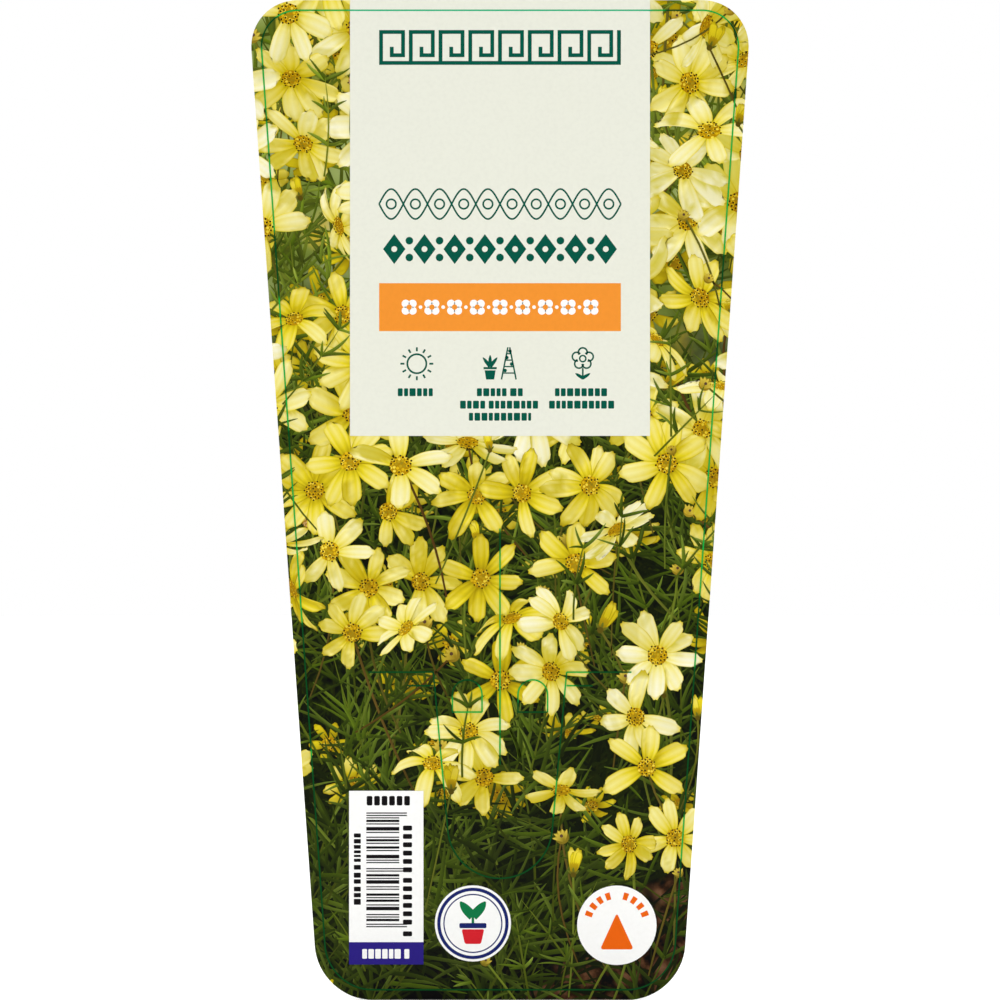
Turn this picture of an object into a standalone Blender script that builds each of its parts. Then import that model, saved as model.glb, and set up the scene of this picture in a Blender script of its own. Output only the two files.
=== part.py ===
"""A die-cut plastic pot label: a tall printed sheet that hangs over a plant pot's rim.

Metres, +Z up. The label stands upright in the XZ plane with its printed face towards -Y.
The origin is under the middle of its bottom edge, half-way through the sheet.
"""

from math import acos, atan2, cos, pi, sin, tan

import bmesh
import bpy

# The sheet: a trapezium with rounded corners, wider at the top. The two widths are
# those of its sharp corners, before they are rounded.
THICKNESS = 0.0005
HEIGHT = 0.273
TOP_WIDTH = 0.1377
BOTTOM_WIDTH = 0.0991
TOP_CORNER_RADIUS = 0.0128
BOTTOM_CORNER_RADIUS = 0.0158
CORNER_STEPS = 16

# The tongue hangs from its root line, tapers a little and ends in a round tip.
ROOT_HEIGHT = 0.0895
ROOT_HALF_WIDTH = 0.0182
TIP_RADIUS = 0.0143
TIP_CENTRE_HEIGHT = 0.0475
TIP_STEPS = 32

# The width of every cut. It leaves the tongue clear of the sheet as it swings.
KERF = 0.0004

# Straight slits on each side of the root, given by their outer ends. The strip of sheet
# between an upper and a lower slit is a small gripping finger.
SHOULDER_REACH = 0.0359
FINGER_REACH = 0.0253
FINGER_SLIT_HEIGHT = 0.0858

# Two arch-shaped flaps in the tongue, cut round their top and sides.
FLAP_OFFSET = 0.00895
FLAP_FOOT_HEIGHT = 0.0786
FLAP_TOP_HEIGHT = 0.0874
FLAP_RADIUS = 0.00405
FLAP_STEPS = 16

# How far a cutter stands out of each face of the sheet, and how close a vertex lies to
# the sharp corner that it is.
CUTTER_OVERSHOOT = 0.001
SAME_PLACE = 1e-6


def clear_scene():
    for old in list(bpy.data.objects):
        bpy.data.objects.remove(old, do_unlink=True)


def plastic(name, colour, roughness):
    """Printed polypropylene, by its average colour."""
    material = bpy.data.materials.new(name)
    material.use_nodes = True
    shader = material.node_tree.nodes["Principled BSDF"]
    shader.inputs["Base Color"].default_value = (*colour, 1.0)
    shader.inputs["Roughness"].default_value = roughness
    shader.inputs["Metallic"].default_value = 0.0
    return material


def add_object(name, shape):
    mesh = bpy.data.meshes.new(name)
    bmesh.ops.recalc_face_normals(shape, faces=shape.faces)
    shape.to_mesh(mesh)
    shape.free()
    made = bpy.data.objects.new(name, mesh)
    bpy.context.scene.collection.objects.link(made)
    return made


def face_of(shape, outline, y):
    """One face through the outline's (x, z) points, in the plane at y."""
    corners = [shape.verts.new((x, y, z)) for x, z in outline]
    return shape.faces.new(corners)


def raise_face(shape, face, depth):
    """Extrudes the face along +Y into a closed plate."""
    grown = bmesh.ops.extrude_face_region(shape, geom=[face])
    moved = [item for item in grown["geom"] if isinstance(item, bmesh.types.BMVert)]
    bmesh.ops.translate(shape, verts=moved, vec=(0.0, depth, 0.0))


def sheet_shape():
    """The full plate, with its corners rounded to their two radii."""
    shape = bmesh.new()
    top, bottom = TOP_WIDTH / 2, BOTTOM_WIDTH / 2
    outline = [(-bottom, 0.0), (bottom, 0.0), (top, HEIGHT), (-top, HEIGHT)]
    face_of(shape, outline, -THICKNESS / 2)
    lean = atan2(top - bottom, HEIGHT)
    for at_top, radius, half_corner in (
        (False, BOTTOM_CORNER_RADIUS, (pi / 2 + lean) / 2),
        (True, TOP_CORNER_RADIUS, (pi / 2 - lean) / 2),
    ):
        bmesh.ops.bevel(
            shape,
            geom=[v for v in shape.verts if corner_at(v, at_top)],
            offset=radius / tan(half_corner),
            segments=CORNER_STEPS,
            profile=0.5,
            affect="VERTICES",
            material=-1,
        )
    raise_face(shape, shape.faces[:][0], THICKNESS)
    return shape


def corner_at(vertex, at_top):
    """Whether the vertex is one of the two sharp corners at this end of the plate."""
    sharp_height = HEIGHT if at_top else 0.0
    sharp_half = (TOP_WIDTH if at_top else BOTTOM_WIDTH) / 2
    off_end = abs(vertex.co.z - sharp_height)
    off_side = abs(abs(vertex.co.x) - sharp_half)
    return off_end < SAME_PLACE and off_side < SAME_PLACE


def tongue_outline(grow):
    """The tongue's outline, grown all round by half a kerf or shrunk by it: a straight
    root, two tapering sides and the tip's arc, which they meet as tangents."""
    root_half = ROOT_HALF_WIDTH + grow
    root_height = ROOT_HEIGHT + grow
    radius = TIP_RADIUS + grow
    rise = root_height - TIP_CENTRE_HEIGHT
    reach = (root_half**2 + rise**2) ** 0.5
    start = atan2(rise, root_half) - acos(radius / reach)
    points = [(-root_half, root_height), (root_half, root_height)]
    for step in range(TIP_STEPS + 1):
        angle = start - (pi + 2 * start) * step / TIP_STEPS
        points.append((radius * cos(angle), TIP_CENTRE_HEIGHT + radius * sin(angle)))
    return points


def cutter(name, outline):
    """A closed block of the outline's shape that passes right through the sheet."""
    shape = bmesh.new()
    face = face_of(shape, outline, -THICKNESS / 2 - CUTTER_OVERSHOOT)
    raise_face(shape, face, THICKNESS + 2 * CUTTER_OVERSHOOT)
    made = add_object(name, shape)
    made.hide_render = True
    made.display_type = "WIRE"
    return made


def slit(name, side, inner, outer, height):
    """The cutter of one straight horizontal slit, from inside the tongue's opening out
    to its outer end on the left (-1) or right (+1) side."""
    low, high = height - KERF / 2, height + KERF / 2
    outline = [
        (side * inner, low),
        (side * outer, low),
        (side * outer, high),
        (side * inner, high),
    ]
    return cutter(name, outline)


def flap_cutter(name, middle):
    """The cutter of one arch: a thin wall that runs up one side, over the half-round
    top and down the other, and stops at the flap's foot."""
    inner, outer = FLAP_RADIUS - KERF / 2, FLAP_RADIUS + KERF / 2
    spring_height = FLAP_TOP_HEIGHT - FLAP_RADIUS

    def arch(radius, backwards):
        turn = [pi * step / FLAP_STEPS for step in range(FLAP_STEPS + 1)]
        ring = [(middle + radius * cos(a), spring_height + radius * sin(a)) for a in turn]
        leg = [(middle + radius, FLAP_FOOT_HEIGHT)]
        far_leg = [(middle - radius, FLAP_FOOT_HEIGHT)]
        path = leg + ring + far_leg
        return path[::-1] if backwards else path

    return cutter(name, arch(outer, False) + arch(inner, True))


def cut(target, cutters):
    for tool in cutters:
        step = target.modifiers.new(tool.name, "BOOLEAN")
        step.operation = "DIFFERENCE"
        step.solver = "EXACT"
        step.object = tool


def label_sheet():
    sheet = add_object("label_sheet", sheet_shape())
    opening = cutter("cut_tongue_opening", tongue_outline(KERF / 2))
    cutters = [opening]
    inside = TIP_RADIUS
    for side, word in ((-1, "left"), (1, "right")):
        shoulder = slit(f"cut_shoulder_{word}", side, inside, SHOULDER_REACH, ROOT_HEIGHT)
        finger = slit(f"cut_finger_{word}", side, inside, FINGER_REACH, FINGER_SLIT_HEIGHT)
        cutters += [shoulder, finger]
    cut(sheet, cutters)
    sheet.data.materials.append(plastic("printed_sheet", (0.36, 0.36, 0.12), 0.35))
    return sheet


def tongue():
    """The tongue's origin is on its root line, half-way through the sheet, where it
    bends."""
    shape = bmesh.new()
    face = face_of(shape, tongue_outline(-KERF / 2), -THICKNESS / 2)
    raise_face(shape, face, THICKNESS)
    bmesh.ops.translate(shape, verts=shape.verts, vec=(0.0, 0.0, -ROOT_HEIGHT))
    made = add_object("tongue", shape)
    made.location = (0.0, 0.0, ROOT_HEIGHT)
    left = flap_cutter("cut_flap_left", -FLAP_OFFSET)
    right = flap_cutter("cut_flap_right", FLAP_OFFSET)
    cut(made, [left, right])
    made.data.materials.append(plastic("printed_tongue", (0.30, 0.29, 0.08), 0.35))
    return made


clear_scene()
label_sheet()
tongue()
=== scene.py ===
import random
from math import acos, atan2, copysign, cos, degrees, hypot, pi, radians, sin, sqrt, tan

import bmesh
import bpy
import numpy as np
from mathutils import Matrix, Vector
from mathutils.bvhtree import BVHTree


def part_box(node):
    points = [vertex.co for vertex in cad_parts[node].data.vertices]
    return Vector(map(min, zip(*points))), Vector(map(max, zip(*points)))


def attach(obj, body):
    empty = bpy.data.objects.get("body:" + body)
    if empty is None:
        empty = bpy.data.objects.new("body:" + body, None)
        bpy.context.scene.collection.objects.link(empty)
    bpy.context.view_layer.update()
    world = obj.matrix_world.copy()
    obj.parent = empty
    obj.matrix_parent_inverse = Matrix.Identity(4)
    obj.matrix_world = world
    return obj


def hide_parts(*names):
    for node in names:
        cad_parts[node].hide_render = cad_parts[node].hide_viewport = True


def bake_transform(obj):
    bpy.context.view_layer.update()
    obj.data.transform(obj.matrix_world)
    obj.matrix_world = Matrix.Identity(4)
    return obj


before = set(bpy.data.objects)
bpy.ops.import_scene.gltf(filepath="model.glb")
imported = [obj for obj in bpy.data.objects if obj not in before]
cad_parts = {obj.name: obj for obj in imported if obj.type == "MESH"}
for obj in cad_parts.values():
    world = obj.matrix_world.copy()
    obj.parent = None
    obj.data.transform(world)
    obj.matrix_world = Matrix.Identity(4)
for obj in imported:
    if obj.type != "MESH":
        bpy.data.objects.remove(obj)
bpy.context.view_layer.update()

mm = 0.001

# The studio. The photograph is flat artwork, so a long lens looks squarely at the front
# and the sheet's height just fills the frame. The floor is plain and pale, under a white
# sky of light that is dimmer in front, so that the varnish mirrors nothing bright.
sheet_low, sheet_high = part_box("label_sheet")
height = sheet_high.z - sheet_low.z
lens_length = 200.0
sensor_width = 36.0


def place_in_scene(name, data):
    made = bpy.data.objects.new(name, data)
    bpy.context.scene.collection.objects.link(made)
    return made


camera = place_in_scene("camera", bpy.data.cameras.new("camera"))
camera.data.lens = lens_length
camera.data.sensor_width = sensor_width
camera.location = (0, sheet_low.y - height * lens_length / sensor_width, sheet_low.z + height / 2)
camera.rotation_euler = (pi / 2, 0, 0)
bpy.context.scene.camera = camera
bpy.context.scene.view_settings.view_transform = "Standard"


class Socket:
    """One output in a node tree. Arithmetic on it adds Math nodes."""

    def __init__(self, tree, output=None):
        self.tree = tree
        self.output = output

    def node(self, kind, settings=None, inputs=None, out=0):
        """Adds a node: its settings first, then the value or link of each socket."""
        made = self.tree.nodes.new("ShaderNode" + kind)
        for name, value in (settings or {}).items():
            if name == "stops":
                set_stops(made.color_ramp, value)
            else:
                setattr(made, name, value)
        feed(made, inputs or {})
        return Socket(self.tree, made.outputs[out])

    def math(self, operation, *values):
        return self.node("Math", {"operation": operation}, dict(enumerate(values)))

    def mix(self, low, high):
        """The colour between low and high that this value picks."""
        return self.node("Mix", {"data_type": "RGBA"}, {0: self, 6: low, 7: high}, out=2)

    def ramp(self, *stops):
        """A colour that changes with this value, through pairs of a place and levels."""
        colours = [(place, display(*levels)) for place, levels in stops]
        return self.node("ValToRGB", {"stops": colours}, {0: self})

    def between(self, low, high):
        """0 below low, 1 above high and a smooth rise from one to the other."""
        rise = {"interpolation_type": "SMOOTHSTEP"}
        return self.node("MapRange", rise, {0: self, 1: low, 2: high, 3: 0.0, 4: 1.0})

    def noise(self, scale, detail):
        """Soft clouds over the surface, where this is the place on it."""
        return self.node("TexNoise", None, {"Vector": self, "Scale": scale, "Detail": detail})

    def bump(self, strength, depth):
        """The surface's slope, where this is its height."""
        return self.node("Bump", None, {"Height": self, "Strength": strength, "Distance": depth})

    def __add__(self, other):
        return self.math("ADD", self, other)

    def __sub__(self, other):
        return self.math("SUBTRACT", self, other)

    def __rsub__(self, other):
        return self.math("SUBTRACT", other, self)

    def __mul__(self, other):
        return self.math("MULTIPLY", self, other)

    __radd__ = __add__
    __rmul__ = __mul__


def set_stops(ramp, stops):
    """Gives a colour ramp its stops, as pairs of a place and a colour."""
    while len(ramp.elements) < len(stops):
        ramp.elements.new(0.5)
    for element, (place, colour) in zip(ramp.elements, stops):
        element.position = place
        element.color = colour


def feed(node, inputs):
    """Gives each named socket of a node its link or its value."""
    for name, value in inputs.items():
        if isinstance(value, Socket):
            value.tree.links.new(value.output, node.inputs[name])
        else:
            node.inputs[name].default_value = value


def surface(name):
    """A new material, the place on its object as a socket, and its main shader."""
    material = bpy.data.materials.new(name)
    material.use_nodes = True
    place = Socket(material.node_tree).node("TexCoord", out="Object")
    return material, place, material.node_tree.nodes["Principled BSDF"]


def add_piece(name, mesh, *materials):
    """Turns a bmesh into an object of the scene, and frees it."""
    data = bpy.data.meshes.new(name)
    mesh.to_mesh(data)
    mesh.free()
    for material in materials:
        data.materials.append(material)
    return place_in_scene(name, data)


floor_radius = 5.0
floor_shape = bmesh.new()
bmesh.ops.create_circle(floor_shape, cap_ends=True, segments=128, radius=floor_radius)
floor_paint, _, shader = surface("studio_floor")
feed(shader, {"Base Color": (0.93, 0.93, 0.93, 1), "Roughness": 0.9, "Specular IOR Level": 0.0})
floor = add_piece("studio_floor", floor_shape, floor_paint)

world = bpy.data.worlds.new("studio_air")
world.use_nodes = True
bpy.context.scene.world = world
air = Socket(world.node_tree)
seen = air.node("LightPath")
depth = air.node("SeparateXYZ", None, {0: air.node("TexCoord")}, out=1)
glow = 0.05 + 0.32 * depth.between(-0.92, -0.55)
strength = glow + seen * (1.0 - glow)
feed(world.node_tree.nodes["Background"], {"Color": (1, 1, 1, 1), "Strength": strength})

lamp_width = 0.5
for lamp_place, energy in (
    ((0.0, 0.0, 1.0), 2.5),
    ((-0.42, -0.68, 0.60), 0.57),
    ((0.42, -0.68, 0.60), 0.57),
    ((0.0, 0.75, 0.66), 0.5),
):
    softbox = place_in_scene("softbox", bpy.data.lights.new("softbox", "SUN"))
    softbox.data.energy = energy
    softbox.data.angle = lamp_width
    softbox.rotation_mode = "QUATERNION"
    softbox.rotation_quaternion = Vector(lamp_place).to_track_quat("Z", "Y")

# The sheet. White polypropylene, 0.5 mm thick with its print, die-cut from a larger web:
# a tall trapezium with round corners, an opening for the tongue and four hairline slits.
# It carries the print on its front, and its back and cut edges are left bare.
top_width = 137.7 * mm
bottom_width = 99.1 * mm
top_corner_radius = 12.8 * mm
bottom_corner_radius = 15.8 * mm
corner_steps = 16
side_lean = atan2((top_width - bottom_width) / 2, height)

root_height = 89.5 * mm
root_half_width = 18.2 * mm
tip_radius = 14.3 * mm
tip_height = 47.5 * mm
tip_steps = 32
shoulder_reach = 35.9 * mm
finger_reach = 25.3 * mm
finger_height = 85.8 * mm
hairline = 0.06 * mm

# The print is built in layers inside the sheet's thickness, so the white plastic stops
# short of the front by this much.
print_room = 0.30 * mm
plastic_front = sheet_low.y + print_room
plastic_back = sheet_high.y


def flat_face(mesh, points, y=0.0):
    """One face through the (x, z) points, looking towards -Y."""
    face = mesh.faces.new([mesh.verts.new((x, y, z)) for x, z in points])
    face.normal_update()
    if face.normal.y > 0:
        face.normal_flip()
    return face


def bar(x_low, x_high, z_low, z_high):
    return [(x_low, z_low), (x_high, z_low), (x_high, z_high), (x_low, z_high)]


def trapezium(x, low, high, low_half, high_half):
    """The corners of a trapezium about x, by its two heights and its half widths there."""
    return [(x - low_half, low), (x + low_half, low), (x + high_half, high), (x - high_half, high)]


def round_corners(mesh, corners, offset, segments):
    bmesh.ops.bevel(
        mesh,
        geom=corners,
        offset=offset,
        segments=segments,
        profile=0.5,
        affect="VERTICES",
        material=-1,
    )


def label_outline(inset=0.0):
    """The corners and arcs of the label's edge, moved inwards by inset."""
    shape = bmesh.new()
    slant = inset / cos(side_lean)
    ends = []
    for z, half, radius, turn in (
        (inset, bottom_width / 2, bottom_corner_radius, (pi / 2 + side_lean) / 2),
        (height - inset, top_width / 2, top_corner_radius, (pi / 2 - side_lean) / 2),
    ):
        lean_in = (z if half < top_width / 2 else z - height) * tan(side_lean)
        ends.append((z, half + lean_in - slant, (radius - inset) / tan(turn)))
    (low, low_half, low_offset), (high, high_half, high_offset) = ends
    flat_face(shape, trapezium(0, low, high, low_half, high_half))
    for offset, z in ((low_offset, low), (high_offset, high)):
        sharp = [v for v in shape.verts if abs(v.co.z - z) < hairline]
        round_corners(shape, sharp, offset, corner_steps)
    points = [(loop.vert.co.x, loop.vert.co.z) for loop in shape.faces[:][0].loops]
    shape.free()
    return points


def tongue_outline(grow=0.0):
    """The tongue's edge: a straight root, two tapering sides and the tip's arc. The root
    stays where it is, because the sheet isn't cut there."""
    root_half = root_half_width + grow
    radius = tip_radius + grow
    rise = root_height - tip_height
    first = atan2(rise, root_half) - acos(radius / sqrt(root_half**2 + rise**2))
    points = [(-root_half, root_height), (root_half, root_height)]
    for step in range(tip_steps + 1):
        angle = first - (pi + 2 * first) * step / tip_steps
        points.append((radius * cos(angle), tip_height + radius * sin(angle)))
    return points


def plate(name, points, front, back):
    """A closed plate of the outline's shape between two planes."""
    shape = bmesh.new()
    face = flat_face(shape, points, front)
    grown = bmesh.ops.extrude_face_region(shape, geom=[face])["geom"]
    moved = [item for item in grown if isinstance(item, bmesh.types.BMVert)]
    bmesh.ops.translate(shape, verts=moved, vec=(0, back - front, 0))
    bmesh.ops.recalc_face_normals(shape, faces=shape.faces)
    return add_piece(name, shape)


def die_cut(piece, outlines):
    """Cuts each outline right through the piece, and leaves the result in its mesh."""
    knives = []
    for points in outlines:
        knife = plate("knife", points, 2 * sheet_low.y, 2 * sheet_high.y)
        step = piece.modifiers.new("die_cut", "BOOLEAN")
        step.operation = "DIFFERENCE"
        step.solver = "EXACT"
        step.object = knife
        knives.append(knife)
    shown = piece.evaluated_get(bpy.context.evaluated_depsgraph_get())
    finished = bpy.data.meshes.new_from_object(shown)
    piece.modifiers.clear()
    piece.data = finished
    for knife in knives:
        bpy.data.objects.remove(knife, do_unlink=True)


def slit(side, reach, z):
    """A hairline slit from inside the tongue's opening out to its end."""
    inner, outer = sorted((side * tip_radius, side * reach))
    return bar(inner, outer, z - hairline / 2, z + hairline / 2)


gloss_veil = 0.0045


def display(red, green, blue):
    """The shader colour that shows as these 0 to 255 levels on a screen, under the thin
    veil of light that the varnish mirrors."""
    levels = np.array((red, green, blue)) / 255
    linear = np.where(levels <= 0.04045, levels / 12.92, ((levels + 0.055) / 1.055) ** 2.4)
    return (*(max(0.0, float(level) - gloss_veil) for level in linear), 1.0)


def white_plastic():
    """Calendered polypropylene: near white, satin, with a fine pressed grain and the
    faint rubs that stacked labels leave on each other."""
    material, place, shader = surface("white_polypropylene")
    rubs = place.node("Mapping", None, {"Vector": place, "Scale": (260, 1, 9)}).noise(1.0, 3.0)
    clouds = place.noise(45.0, 4.0).between(0.3, 0.7)
    tone = clouds.mix(display(243, 243, 240), display(248, 248, 246))
    finish = {
        "Base Color": rubs.between(0.60, 0.80).mix(tone, display(237, 238, 236)),
        "Roughness": 0.34 + 0.12 * rubs.between(0.4, 0.75),
        "Normal": (place.noise(4200.0, 2.0) + 0.6 * rubs).bump(0.12, 0.02 * mm),
        "Specular IOR Level": 0.45,
    }
    feed(shader, finish)
    return material


def cut_edge():
    """The bare edge that the die leaves: matt, and a shade greyer than the faces."""
    material, place, shader = surface("cut_polypropylene")
    drag = place.noise(900.0, 2.0).between(0.3, 0.7)
    tone = drag.mix(display(196, 197, 194), display(214, 214, 211))
    feed(shader, {"Base Color": tone, "Roughness": 0.6})
    return material


def varnish(place, shader):
    """The thin satin coat over all the inks: even, with a faint grain."""
    coat = {
        "Roughness": 0.30 + 0.08 * place.noise(30.0, 2.0).between(0.3, 0.7),
        "Normal": place.noise(2600.0, 2.0).bump(0.06, 0.01 * mm),
        "Specular IOR Level": 0.08,
    }
    feed(shader, coat)


def ground_print():
    """The darkest layer of the print, which shows between the leaves: near black at the
    foot, with soil at the right, and soft, light and out of focus at the top."""
    material, place, shader = surface("print_ground")
    across = place.node("SeparateXYZ", None, {0: place}, out=0)
    up = place.node("SeparateXYZ", None, {0: place}, out=2)
    warp = place.noise(60.0, 3.0)
    leaves = place.noise(330.0, 5.0)
    dark = leaves.ramp((0.34, (6, 7, 0)), (0.50, (22, 28, 2)), (0.68, (48, 60, 10)))
    foot = leaves.ramp((0.40, (4, 3, 0)), (0.56, (14, 14, 2)), (0.72, (36, 36, 10)))
    pale = ((0.30, (96, 112, 38)), (0.46, (126, 142, 62)), (0.62, (150, 164, 96)), (0.75, (176, 184, 128)))
    blurred = place.noise(75.0, 1.0).ramp(*pale)
    crumbs = ((0.40, (10, 6, 3)), (0.48, (46, 29, 17)), (0.58, (88, 58, 38)), (0.72, (118, 84, 60)))
    soil = place.noise(190.0, 6.0).ramp(*crumbs)
    heads = place.node("TexVoronoi", {"feature": "F1"}, {"Vector": place, "Scale": 62.0})
    glow = 1 - heads.between(0.25, 0.50)
    soft = (glow * warp.between(0.40, 0.52)).mix(blurred, display(222, 190, 44))
    high = (up + 0.09 * (warp - 0.5)).between(0.150, 0.225)
    low = 1 - (up + 0.03 * (warp - 0.5)).between(0.016, 0.046)
    low_right = (0.9 * across - up + 0.06 * warp).between(0.030, 0.040)
    feed(shader, {"Base Color": low_right.mix(low.mix(high.mix(dark, soft), foot), soil)})
    varnish(place, shader)
    return material


finishes = (white_plastic(), ground_print(), cut_edge())


def print_front(piece):
    """Gives the front its print, the back plain white plastic and the edges their cut."""
    piece.data.materials.clear()
    for finish in finishes:
        piece.data.materials.append(finish)
    for face in piece.data.polygons:
        outward = face.normal.y
        face.material_index = 0 if outward > 0.9 else 1 if outward < -0.9 else 2


sheet = plate("sheet_plastic", label_outline(), plastic_front, plastic_back)
slit_rows = ((shoulder_reach, root_height), (finger_reach, finger_height))
slits = [slit(side, *row) for side in (-1, 1) for row in slit_rows]
die_cut(sheet, [tongue_outline(hairline / 2), *slits])
print_front(sheet)
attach(sheet, "sheet")
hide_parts("label_sheet")

# The tongue. It is the same sheet, still joined to it along its root, where it bends. Two
# arch-shaped flaps are cut round their tops and sides and stay flat until they are used.
# It is built in narrow strips near the root, so that it bends as a smooth curve.
bend_length = 5 * mm
bend_step = 0.25 * mm
bend_steps = round(bend_length / bend_step)
flap_offset = 8.95 * mm
flap_radius = 4.05 * mm
flap_foot = 78.6 * mm
flap_top = 87.4 * mm
flap_steps = 16


def flap_arch(middle, radius):
    """The points of one flap's cut, from one foot over the top to the other."""
    spring = flap_top - flap_radius
    turn = [pi * step / flap_steps for step in range(flap_steps + 1)]
    ring = [(middle + radius * cos(angle), spring + radius * sin(angle)) for angle in turn]
    return [(middle + radius, flap_foot), *ring, (middle - radius, flap_foot)]


def flap_cut(middle):
    inner = flap_arch(middle, flap_radius - hairline / 2)
    return flap_arch(middle, flap_radius + hairline / 2) + inner[::-1]


def strip_root(mesh):
    """Cuts a mesh across at each step of the bend."""
    for step in range(1, bend_steps + 1):
        bmesh.ops.bisect_plane(
            mesh,
            geom=mesh.verts[:] + mesh.edges[:] + mesh.faces[:],
            dist=0.001 * bend_step,
            plane_co=(0, 0, root_height - step * bend_step),
            plane_no=(0, 0, 1),
        )


def hang_from_root(piece):
    """Bakes the placement of a piece of the tongue into its mesh."""
    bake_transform(piece)


tongue = plate("tongue_plastic", tongue_outline(-hairline / 2), plastic_front, plastic_back)
die_cut(tongue, [flap_cut(-flap_offset), flap_cut(flap_offset)])
strips = bmesh.new()
strips.from_mesh(tongue.data)
strip_root(strips)
strips.to_mesh(tongue.data)
strips.free()
print_front(tongue)
hang_from_root(tongue)
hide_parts("tongue")

# The printed picture: pale yellow flowers over thread-leaved green. Each leaf, petal and
# stem is a flat shape of ink, laid over those behind it within the print's thickness. Its
# colour is shaded as in a real bed of flowers, with daylight from the upper left.
daylight = Vector((-0.42, -0.62, 0.66)).normalized()
micron = 0.001 * mm


class Pattern:
    """A small flat mesh, made once and copied as often as it is needed."""

    def __init__(self, make, **settings):
        mesh = bmesh.new()
        make(mesh, **settings)
        mesh.verts.index_update()
        self.places = [v.co.copy() for v in mesh.verts]
        self.faces = [[v.index for v in f.verts] for f in mesh.faces]
        mesh.free()


relief = 0.06 * micron / mm


class Film:
    """One layer of flat shapes. Each vertex has its ink and its height above the plastic.
    Until the film is printed, -y is how near the shape stood to the lens."""

    def __init__(self):
        self.places, self.inks, self.lifts, self.faces = [], [], [], []

    def add(self, pattern, shape, lift):
        """Copies a pattern. The shape function gives each vertex its place and ink. What
        stood nearer the lens is lifted a hair more, so that folds lie one over the other."""
        first = len(self.places)
        made = [shape(co) for co in pattern.places]
        middle = sum(place.y for place, _ in made) / len(made)
        for place, ink in made:
            self.places.append(place)
            self.inks.append(ink)
            self.lifts.append(lift + relief * (middle - place.y))
        self.faces += [[first + corner for corner in face] for face in pattern.faces]

    def data(self):
        """The film as mesh data, with the inks and heights as attributes."""
        made = bpy.data.meshes.new("film")
        made.from_pydata(self.places, [], self.faces)
        inks = made.attributes.new("ink", "FLOAT_COLOR", "POINT")
        inks.data.foreach_set("color", np.array(self.inks, np.float32).ravel())
        lifts = made.attributes.new("lift", "FLOAT", "POINT")
        lifts.data.foreach_set("value", np.array(self.lifts, np.float32))
        return made


def limited(share):
    return min(1.0, max(0.0, share))


def blend_colours(low, high, share):
    return tuple(a + (b - a) * limited(share) for a, b in zip(low, high))


def darker(colour, by):
    return (colour[0] * by, colour[1] * by, colour[2] * by, 1.0)


def direction(angle):
    return Vector((cos(angle), 0, sin(angle)))


plain_ribbon = Pattern(bmesh.ops.create_grid, x_segments=1, y_segments=6, size=0.5)
folded_ribbon = Pattern(bmesh.ops.create_grid, x_segments=2, y_segments=6, size=0.5)


def thread_leaf(film, foot, heading, length, width, curve, colours, lift, taper=0.85, fold=0.0):
    """A thread-like leaf or a stem: a ribbon that curves and narrows to its tip. A fold
    along its middle makes one edge lighter and the other darker."""
    aim = direction(heading)
    side = Vector((-sin(heading), 0, cos(heading)))
    light_side = fold if side.dot(daylight) > 0 else -fold

    def shape(co):
        across, along = 2 * co.x, co.y + 0.5
        turned = (side - aim * 2 * curve * along).normalized()
        half = width / 2 * (1 - taper * along**4)
        place = foot + length * (aim * along + side * curve * along**2) + turned * half * across
        ink = blend_colours(colours[0], colours[1], along)
        return place, darker(ink, 1 + light_side * across)

    film.add(folded_ribbon if fold else plain_ribbon, shape, lift)


def sprig(film, draw, foot, heading, length, thickness, colours, lifts, fold, leaf_reach):
    """A leafy stem: whorls of thread leaves at even steps along it."""
    sway = draw.uniform(-0.18, 0.18)
    thread_leaf(film, foot, heading, length, thickness, sway, colours[:2], draw.uniform(*lifts))
    aim = direction(heading)
    side = Vector((-sin(heading), 0, cos(heading)))
    gap = draw.uniform(7, 10) * mm
    for whorl in range(1, int(length / gap) + 1):
        along = whorl * gap / length
        joint = foot + length * (aim * along + side * sway * along**2)
        for _ in range(draw.choice((3, 4, 5))):
            spread = heading + draw.choice((-1, 1)) * draw.uniform(0.20, 1.45)
            tone = draw.random()
            light = draw.uniform(0.60, 1.55)
            green = darker(blend_colours(colours[2], colours[3], tone), light)
            tip = darker(blend_colours(colours[3], colours[4], tone * draw.random()), light)
            reach = leaf_reach * draw.uniform(0.4, 1.0)
            wide = draw.uniform(0.5, 1.0) * mm + 0.018 * max(0.0, leaf_reach - 9 * mm)
            curve = draw.uniform(-0.35, 0.35)
            over = draw.uniform(*lifts)
            thread_leaf(film, joint, spread, reach, wide, curve, (green, tip), over, fold=fold)


fine_petal = Pattern(bmesh.ops.create_grid, x_segments=8, y_segments=9, size=0.5)
coarse_petal = Pattern(bmesh.ops.create_grid, x_segments=4, y_segments=6, size=0.5)
petal_pale = display(251, 248, 222)
petal_lemon = display(247, 238, 160)
petal_strong = display(236, 216, 38)
petal_olive = display(180, 158, 4)


def petal_ink(share):
    """From pale lemon at 0 through strong yellow to the olive yellow of shade at 1."""
    if share < 0.3:
        return blend_colours(petal_pale, petal_lemon, share / 0.3)
    if share < 0.7:
        return blend_colours(petal_lemon, petal_strong, (share - 0.3) / 0.4)
    return blend_colours(petal_strong, petal_olive, (share - 0.7) / 0.4)


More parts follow.
